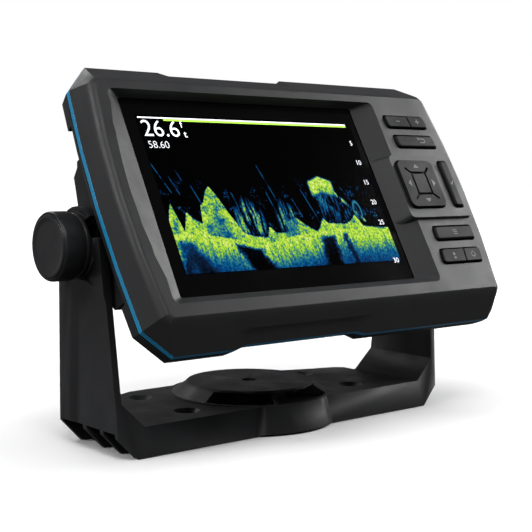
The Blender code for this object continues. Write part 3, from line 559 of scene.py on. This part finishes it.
def picture_look():
    """The echo picture of a sounder: a green and blue seabed on black, with weed and arches."""
    made, tree, shader = new_material("lit_picture", (0, 0, 0), 0.09, specular=0.2)
    place = node(tree, "TexCoord").outputs["Object"]
    split = node(tree, "SeparateXYZ", {0: place})
    u = Field(tree, split.outputs["X"]) * (1 / MM)
    v = Field(tree, split.outputs["Y"]) * (1 / MM)

    def noise(size, stretch=(1, 1, 1), detail=3.0, shift=0.0):
        scale = tuple(s / (size * MM) for s in stretch)
        offset = (shift, shift, 0)
        at = node(tree, "Mapping", {"Vector": place, "Scale": scale, "Location": offset}).outputs[0]
        made_noise = node(tree, "TexNoise", {"Vector": at, "Scale": 1.0, "Detail": detail, "Roughness": 0.65})
        return Field(tree, made_noise.outputs["Fac"])

    speck = noise(0.9, (1, 0.8, 1), 4.0)
    patch = noise(5.0, (1, 1, 1), 3.0, 3.1)
    streak = noise(1.6, (1, 0.16, 1), 3.0, 7.7)
    ragged = (noise(1.1, detail=4.0, shift=5.5) - 0.5) * 5.0

    # The hills, the floor in front of them, and the dark shadows on it.
    hills = curve_of(u, [(-66.5, -9.5), (-65, -5), (-63.6, -2.0), (-62.4, -7), (-61, -13.5), (-59.6, -10),
                         (-57.9, -5.5), (-56, -8), (-52, -10.5), (-50.5, -3), (-48.5, -1.5), (-46.5, 2.5),
                         (-44, 4.8), (-42, 1.5), (-38, -8), (-34.5, -14.8), (-30, -16.5), (-24, -17),
                         (-21.5, -12.5), (-19, -15.5), (-13, -14.8), (-11, -10), (-7, -9.0), (-3, -12.5),
                         (2, -15.5), (4.5, -13), (7, -9.5), (9, -12), (13, -12.2), (19, -12.5), (22, -11),
                         (25, -8.5), (27.5, -13.5), (31, -14.2), (41.5, -14.8)], -30, 10)
    under = (hills + ragged * 0.35) - v
    crown = under.rise(-0.3, 0.5) * (under.rise(16.0, 2.0) * 0.35 + 0.65)
    floor_line = curve_of(u, [(-66.5, -14), (-54, -14.5), (-40, -17), (-30, -19.5), (-20, -18.5), (-8, -16.5),
                              (6, -15), (20, -14.5), (28, -15), (41.5, -15.2)], -30, 10)
    deep = (floor_line + ragged * 0.4) - v
    ground = deep.rise(-0.4, 0.8) * (deep.rise(16.0, 0.0) * 0.62 + 0.30)
    sway = u + ragged * 0.8 + (patch - 0.5) * 6.0
    shadow = (sway + v * 0.5).between(-50, -40, 1.5) * deep.rise(0.5, 2.5)
    shadow = shadow.top((sway - v * 0.05).between(3.0, 11.0, 1.5) * deep.rise(1.5, 4.0) * 0.95)
    shadow = shadow.top((sway + v * 0.1).between(12.8, 15.6, 0.8) * deep.rise(1.0, 3.0) * 0.75)
    shadow = shadow.top((sway + v * 0.5).between(-75.0, -67.5, 2.0) * deep.rise(1.5, 5.0) * 0.7)
    shadow = shadow.top((sway - v * 0.4).between(-54.0, -50.5, 1.0) * deep.rise(3.0, 6.0) * 0.6)
    ground = ground * (shadow * -0.9 + 1.0)
    crown = crown * (deep.rise(0.0, 1.6) * -1.0 + 1.0)
    ridge = deep.rise(-0.6, 0.4) * deep.rise(3.6, 1.2) * 0.92
    # The tall crown on its leaning stem, the weed and the arch.
    cap_x = (u - 12.2).size()
    cap = cap_x.rise(7.2, 5.6) * (v - (cap_x * -0.35 + 8.8)).rise(0.8, -0.8)
    cap = cap * (v + cap_x * 0.2).rise(-0.6, 3.2)
    stem = (u + v * 0.9 - 19.4).size().rise(1.6, 0.2) * v.between(-12, 3, 0.6) * 0.8
    bush = (u + 29.5).size() * 0.8 + v
    weed = u.between(-36, -23, 1.4) * bush.rise(2.5, -3.0) * v.rise(-18, -14) * (patch * 0.5 + 0.4)
    tuft = (u + 11).size() * 0.9 + v
    weed = weed.top(u.between(-16, -6.5, 1.0) * tuft.rise(1.0, -3.5) * v.rise(-17, -13) * 0.6)
    hanging = u.between(7.5, 18.0, 1.5) * v.between(-11, 4, 2.5) * 0.46
    weed = weed.top(hanging).top(u.between(19.5, 24.0, 1.0) * v.between(-13, -6, 2.0) * 0.5)
    ring = ((u - 27.6) * (u - 27.6) * 1.6 + (v + 7.0) * (v + 7.0) * 0.35).root()
    arch = (ring - 2.4).size().rise(0.9, 0.1) * v.rise(-12, -9) * 0.48
    # Faint leaning lines in the water, and a haze over the floor.
    lines = None
    for start, lean, low, high in ((-60.5, -0.42, 2, 15), (-57.4, -0.36, 1, 9), (-50.5, -0.3, -4, 5),
                                   (-13.8, -0.28, -2, 14), (-17.0, -0.22, -7, 2), (-67.5, -0.4, 9, 14),
                                   (24.4, -0.5, -8, 4), (-5.8, -0.3, -9, -1), (-52.8, -0.34, 7, 12),
                                   (-34.0, -0.2, -6, 2), (1.5, -0.3, -12, 3)):
        ray = (u - start - v * lean).size().rise(0.45, 0.0) * v.between(low, high, 0.8) * 0.40
        lines = ray if lines is None else lines.top(ray)
    haze = v.rise(14, -4) * v.rise(-16, -12) * (patch.rise(0.52, 0.66)) * 0.42

    # Everything together: how bright each place is, and then its colour.
    grain = speck.rise(0.34, 0.62) * 0.45 + 0.62
    bright = crown * (patch.rise(0.3, 0.62) * 0.42 + 0.5) * (u.between(-15.5, -7, 1) * -0.35 + 1.0)
    bright = bright.top(ridge * (patch.rise(0.25, 0.6) * 0.3 + 0.65))
    bright = bright.top(ground * (streak.rise(0.3, 0.7) * 0.4 + 0.75))
    bright = bright.top(cap * (patch.rise(0.3, 0.55) * 0.35 + 0.62))
    bright = bright.top((weed * streak.rise(0.42, 0.6)).top(stem * streak.rise(0.4, 0.6)))
    bright = (bright * grain).top(arch).top(lines * streak.rise(0.35, 0.55)).top(haze * speck.rise(0.45, 0.6))

    colors = node(tree, "ValToRGB", {"Fac": bright.socket})
    steps = colors.color_ramp
    steps.elements[0].position = 0.06
    steps.elements[0].color = (0, 0, 0, 1)
    steps.elements[1].position = 1.0
    steps.elements[1].color = (0.92, 1.0, 0.36, 1)
    for position, color in ((0.18, (0.004, 0.02, 0.06)), (0.32, (0.0, 0.07, 0.26)),
                            (0.45, (0.01, 0.19, 0.30)), (0.56, (0.12, 0.42, 0.10)),
                            (0.70, (0.42, 0.78, 0.04)), (0.85, (0.68, 0.95, 0.07))):
        steps.elements.new(position).color = (*color, 1)
    left, right, bottom, top = SCREEN
    edge = u.between(left + RIM, right - RIM, 0.15) * v.between(bottom + RIM, top - RIM, 0.15)
    lit = node(tree, "VectorMath", {0: colors.outputs["Color"], "Scale": edge.socket}, operation="SCALE")
    tree.links.new(lit.outputs["Vector"], shader.inputs["Emission Color"])
    shader.inputs["Emission Strength"].default_value = 0.85
    return made


def glowing(name, color, strength):
    """The lit dots of a line or a letter on the screen."""
    made, tree, shader = new_material(name, color, 0.4)
    place = node(tree, "TexCoord").outputs["Object"]
    cells = node(tree, "TexNoise", {"Vector": place, "Scale": 1 / (0.3 * MM), "Detail": 2.0})
    level = ramp_between(tree, cells.outputs["Fac"], 0.85, 1.1, 0.3, 0.7)
    shade = node(tree, "VectorMath", {0: color, "Scale": level}, operation="SCALE").outputs["Vector"]
    tree.links.new(shade, shader.inputs["Emission Color"])
    shader.inputs["Emission Strength"].default_value = strength
    return made


glass_top = span("window_glass")[1].z + SCREEN_LIFT


def on_glass(lift):
    """A frame on the window's front face, raised by a lift in millimetres."""
    return SEAM @ Matrix.Translation((0, 0, (glass_top + lift) * MM))


def panel(name, left, right, bottom, top, lift, look):
    corners = [(left, bottom), (right, bottom), (right, top), (left, top)]
    ring = [(x * MM, y * MM) for x, y in corners]
    mesh = plate(name, [ring], PANEL_DEPTH * MM)
    return shown(name, mesh, "display_unit", "lcd", look, on_glass(lift))


white_glow = glowing("white_glow", (0.92, 0.95, 1.0), 0.95)
grey_glow = glowing("grey_glow", (0.72, 0.74, 0.78), 0.8)
green_glow = glowing("green_glow", (0.36, 0.75, 0.05), 0.85)

panel("lit_picture", *SCREEN, 0.0, picture_look())
panel("depth_bar_white", SCREEN[0] + 0.8, SCREEN[1] - 2.4, 33.2, 33.75, BAR_LIFT, white_glow)
panel("depth_bar_green", SCREEN[0] + 12.0, SCREEN[1] - 2.4, 32.3, 33.05, BAR_LIFT, green_glow)


def lettering(name, words, at, height, look, align="LEFT", bold=0.0):
    """Thin raised lettering on the lit picture, as a mesh."""
    text = bpy.data.curves.new(name, "FONT")
    text.body = words
    text.size = height * MM / CAPITAL_SHARE
    text.extrude = LETTER_DEPTH * MM
    text.offset = bold * MM
    text.align_x = align
    holder = bpy.data.objects.new(name, text)
    bpy.context.scene.collection.objects.link(holder)
    mesh = bpy.data.meshes.new_from_object(holder.evaluated_get(bpy.context.evaluated_depsgraph_get()))
    bpy.data.objects.remove(holder, do_unlink=True)
    mesh.name = name
    place = on_glass(LETTER_LIFT) @ Matrix.Translation((at[0] * MM, at[1] * MM, 0))
    return shown(name, mesh, "display_unit", "lcd", look, place)


lettering("depth_reading", "26.6", (-65.4, 25.6), 6.9, white_glow, bold=-0.07)
lettering("depth_unit", "f", (-47.6, 29.6), 3.0, white_glow)
lettering("depth_unit_low", "t", (-47.2, 25.4), 3.0, white_glow)
lettering("water_reading", "58.60", (-64.8, 20.6), 3.0, grey_glow, bold=-0.05)
for number, depth in enumerate((5, 10, 15, 20, 25, 30)):
    height = 23.6 - 9.3 * number - (8.0 if depth == 30 else 0.0)
    lettering(f"scale_{depth}", str(depth), (38.6, height), 2.2, grey_glow, "CENTER")

# ---------------------------------------------------------------- camera, light and floor


def look_from(yaw, pitch, roll, eye, lens, shift):
    """A camera given by its heading from +Y towards +X, its downward pitch, its lens and its shift."""
    forward = Vector((math.sin(yaw) * math.cos(pitch), math.cos(yaw) * math.cos(pitch), -math.sin(pitch)))
    right = Vector((math.cos(yaw), -math.sin(yaw), 0))
    up = right.cross(forward)
    turned_right = right * math.cos(roll) + up * math.sin(roll)
    turned_up = up * math.cos(roll) - right * math.sin(roll)
    data = bpy.data.cameras.new("camera")
    data.sensor_width = 36
    data.lens = lens
    data.shift_x, data.shift_y = shift
    data.clip_start = 0.01
    data.clip_end = 50
    camera = bpy.data.objects.new("camera", data)
    bpy.context.scene.collection.objects.link(camera)
    axes = Matrix((turned_right, turned_up, -forward)).transposed().to_4x4()
    camera.matrix_world = Matrix.Translation(Vector(eye) * MM) @ axes
    bpy.context.scene.camera = camera


look_from(yaw=math.radians(39.66), pitch=math.radians(4.72), roll=math.radians(0.26),
          eye=(-298.2, -364.3, 103.5), lens=77.0075, shift=(0.01767, -0.00451))


def softbox(name, toward, distance, size, power, glossy=True, aim=(0, 0, 0.08)):
    """An area light seen from the object in the direction toward, with or without a reflection of itself."""
    data = bpy.data.lights.new(name, "AREA")
    data.shape = "RECTANGLE"
    data.size = size[0]
    data.size_y = size[1]
    data.energy = power
    lamp = bpy.data.objects.new(name, data)
    bpy.context.scene.collection.objects.link(lamp)
    way = Vector(toward).normalized()
    lamp.location = Vector(aim) + way * distance
    lamp.rotation_euler = way.to_track_quat("Z", "Y").to_euler()
    lamp.visible_glossy = glossy


softbox("right_sheen", (0.90, -0.20, 0.38), 1.0, (0.4, 0.45), 7)
softbox("left_ridge", (-0.84, 0.06, 0.50), 1.1, (0.4, 0.35), 5)
softbox("left_fill", (-0.36, -0.56, 0.74), 1.1, (0.45, 0.3), 4)
softbox("corner_gleam", (0.08, 0.80, 0.58), 1.1, (0.3, 0.3), 1.4)
softbox("overhead", (-0.15, -0.25, 1.0), 1.5, (2.2, 2.0), 24, glossy=False)

# The room is dim, with a paler band round the horizon for the gloss to show.
world = bpy.data.worlds.new("studio")
bpy.context.scene.world = world
world.use_nodes = True
sky = world.node_tree
height = node(sky, "SeparateXYZ", {0: node(sky, "TexCoord").outputs["Generated"]}).outputs["Z"]
band = node(sky, "ValToRGB", {"Fac": ramp_between(sky, height, 0.0, 1.0, -1.0, 1.0)})
steps = band.color_ramp
steps.elements[0].position = 0.35
steps.elements[0].color = (0.10, 0.10, 0.10, 1)
steps.elements[1].position = 0.70
steps.elements[1].color = (0.04, 0.04, 0.04, 1)
for position in (0.42, 0.54):
    steps.elements.new(position).color = (0.33, 0.33, 0.34, 1)
sky.links.new(band.outputs["Color"], sky.nodes["Background"].inputs["Color"])

# The floor and the white backdrop behind it are for the camera: neither lights the object.
FLOOR_HALF = 6.0
FLOOR_DROP = 0.2 * MM
BACKDROP_RADIUS = 7.0

floor_mesh = bpy.data.meshes.new("floor")
floor_shape = bmesh.new()
bmesh.ops.create_grid(floor_shape, x_segments=1, y_segments=1, size=FLOOR_HALF)
floor_shape.to_mesh(floor_mesh)
floor_shape.free()
floor = bpy.data.objects.new("floor", floor_mesh)
bpy.context.scene.collection.objects.link(floor)
floor.location.z = -FLOOR_DROP
floor.visible_glossy = False
floor.visible_diffuse = False
floor_look, floor_tree, floor_shader = new_material("floor_paper", (0.92, 0.92, 0.92), 0.9, specular=0.1)
spot = node(floor_tree, "TexCoord").outputs["Object"]
away = node(floor_tree, "VectorMath", {0: spot}, operation="LENGTH").outputs["Value"]
floor_glow = ramp_between(floor_tree, away, -0.04, 1.1, 0.13, 1.2)
floor_tree.links.new(floor_glow, floor_shader.inputs["Emission Strength"])
floor_shader.inputs["Emission Color"].default_value = (1, 1, 1, 1)
floor_mesh.materials.append(floor_look)

dome_mesh = bpy.data.meshes.new("backdrop")
dome_shape = bmesh.new()
bmesh.ops.create_uvsphere(dome_shape, u_segments=48, v_segments=24, radius=BACKDROP_RADIUS)
dome_shape.to_mesh(dome_mesh)
dome_shape.free()
dome = bpy.data.objects.new("backdrop", dome_mesh)
bpy.context.scene.collection.objects.link(dome)
for way in ("glossy", "diffuse", "transmission", "shadow"):
    setattr(dome, "visible_" + way, False)
dome_look, _, dome_shader = new_material("backdrop_white", (0, 0, 0), 1.0, specular=0)
dome_shader.inputs["Emission Color"].default_value = (1, 1, 1, 1)
dome_shader.inputs["Emission Strength"].default_value = 1.0
dome_mesh.materials.append(dome_look)
bpy.context.scene.view_settings.view_transform = "Standard"
